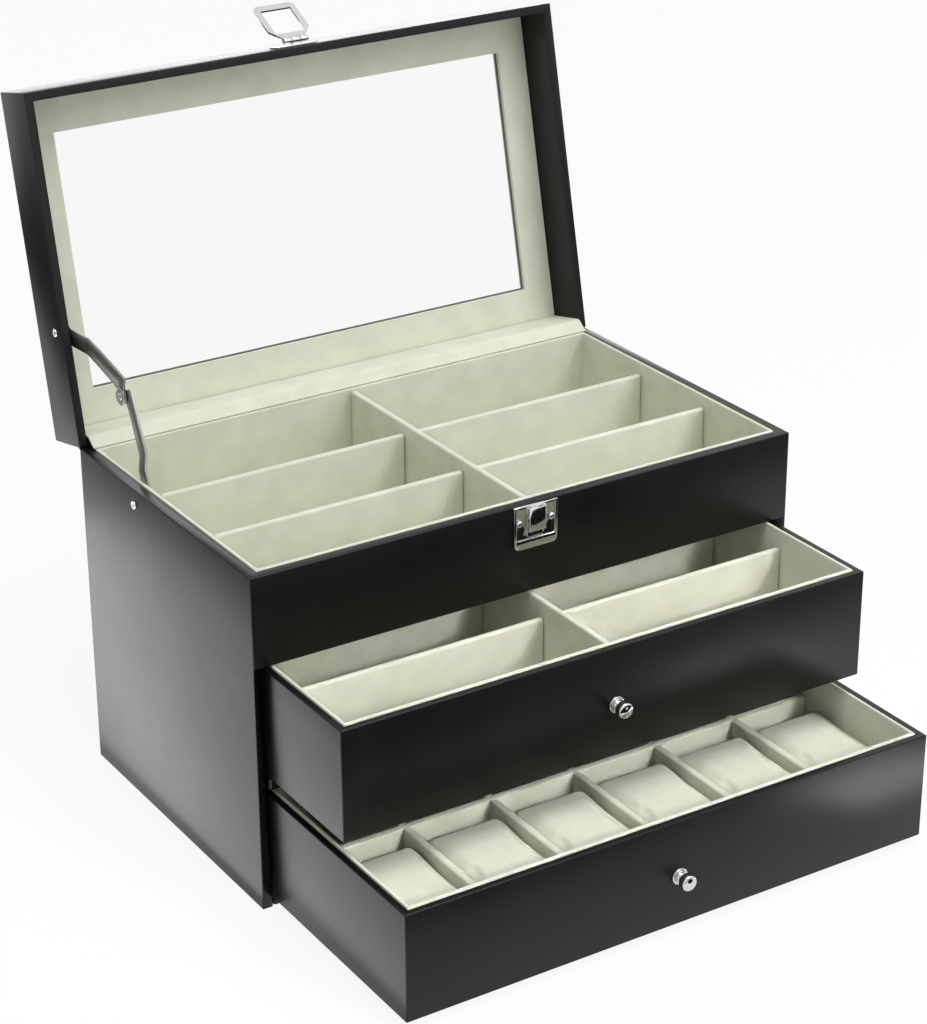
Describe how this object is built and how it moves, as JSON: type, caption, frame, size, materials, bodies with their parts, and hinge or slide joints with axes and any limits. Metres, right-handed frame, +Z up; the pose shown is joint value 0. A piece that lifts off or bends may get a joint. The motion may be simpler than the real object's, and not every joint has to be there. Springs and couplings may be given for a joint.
{
  "type": "eyeglasses storage box",
  "caption": "Leather-wrapped storage box with a mirrored lid on a folding stay, a divided velvet tray, a divided drawer and a drawer of watch pillows.",
  "frame": {"origin": "centre of the case's underside", "axes": "+Z up; the front, with the drawers and the catch, faces -Y; +X is to the right as seen from the front"},
  "size_m": [0.3361, 0.4123, 0.3961],
  "materials": {
    "black_leatherette": "fine grain, semi-gloss",
    "ivory_velvet": "short-pile velvet",
    "mirror_glass": "polished",
    "bright_chrome": "polished",
    "brushed_nickel": "brushed nickel"
  },
  "bodies": {
    "case": {"left_side_panel": "black_leatherette", "right_side_panel": "black_leatherette", "back_panel": "black_leatherette", "base_panel": "black_leatherette", "drawer_shelf": "black_leatherette", "upper_front_rail": "black_leatherette", "tray_floor": "ivory_velvet", "tray_lining": "ivory_velvet", "tray_centre_divider": "ivory_velvet", "tray_divider_left_front": "ivory_velvet", "tray_divider_right_front": "ivory_velvet", "tray_divider_left_back": "ivory_velvet", "tray_divider_right_back": "ivory_velvet", "hinge_tape_case": "black_leatherette", "hinge_flap_fold": "ivory_velvet", "catch_plate": "bright_chrome", "catch_rivet_left": "bright_chrome", "catch_rivet_right": "bright_chrome", "stay_case_rivet": "bright_chrome"},
    "lid": {"lid_top_board": "black_leatherette", "lid_front_rim": "black_leatherette", "lid_back_rim": "black_leatherette", "lid_left_rim": "black_leatherette", "lid_right_rim": "black_leatherette", "lid_panel": "ivory_velvet", "lid_mirror": "mirror_glass", "hinge_flap_lid": "ivory_velvet", "hinge_tape_lid": "black_leatherette", "hasp_leaf": "bright_chrome", "hasp_pin": "brushed_nickel", "stay_lid_rivet": "bright_chrome"},
    "hasp_loop": {"hasp_loop": "bright_chrome"},
    "stay_lower": {"stay_lower_link": "brushed_nickel", "stay_knee_rivet": "brushed_nickel"},
    "stay_upper": {"stay_upper_link": "brushed_nickel"},
    "middle_drawer": {"middle_drawer_box": "black_leatherette", "middle_drawer_lining": "ivory_velvet", "middle_drawer_centre_divider": "ivory_velvet", "middle_drawer_divider_left_front": "ivory_velvet", "middle_drawer_divider_left_back": "ivory_velvet", "middle_drawer_divider_right_front": "ivory_velvet", "middle_drawer_divider_right_back": "ivory_velvet", "middle_drawer_knob": "bright_chrome"},
    "bottom_drawer": {"bottom_drawer_box": "black_leatherette", "bottom_drawer_lining": "ivory_velvet", "watch_cross_wall": "ivory_velvet", "watch_divider_1": "ivory_velvet", "watch_divider_2": "ivory_velvet", "watch_divider_3": "ivory_velvet", "watch_divider_4": "ivory_velvet", "watch_divider_5": "ivory_velvet", "watch_pillow_1": "ivory_velvet", "watch_pillow_2": "ivory_velvet", "watch_pillow_3": "ivory_velvet", "watch_pillow_4": "ivory_velvet", "watch_pillow_5": "ivory_velvet", "watch_pillow_6": "ivory_velvet", "bottom_drawer_knob": "bright_chrome"}
  },
  "joints": [
    {"name": "lid_hinge", "type": "hinge", "parent": "case", "child": "lid", "pos_m": [0, 0.0965, 0.1908], "axis": [1, 0, 0], "range_deg": [0, 102.4], "deforming": ["hinge_flap_fold"]},
    {"name": "hasp_swing", "type": "hinge", "parent": "lid", "child": "hasp_loop", "pos_m": [0, 0.14321, 0.38183], "axis": [1, 0, 0], "range_deg": [-30, 140]},
    {"name": "stay_foot", "type": "hinge", "parent": "case", "child": "stay_lower", "pos_m": [-0.158, 0.031, 0.182], "axis": [1, 0, 0], "range_deg": [0, 116]},
    {"name": "stay_knee", "type": "hinge", "parent": "stay_lower", "child": "stay_upper", "pos_m": [-0.1564, 0.06052, 0.2315], "axis": [1, 0, 0], "range_deg": [-124, 0]},
    {"name": "middle_drawer_slide", "type": "slide", "parent": "case", "child": "middle_drawer", "axis": [0, -1, 0], "range_m": [-0.0746, 0.07]},
    {"name": "bottom_drawer_slide", "type": "slide", "parent": "case", "child": "bottom_drawer", "axis": [0, -1, 0], "range_m": [-0.1315, 0.015]}
  ],
  "couplings": [
    {"joint": "stay_foot", "follows": "lid_hinge", "ratio": 1.1296},
    {"joint": "stay_knee", "follows": "lid_hinge", "ratio": -1.2048}
  ]
}
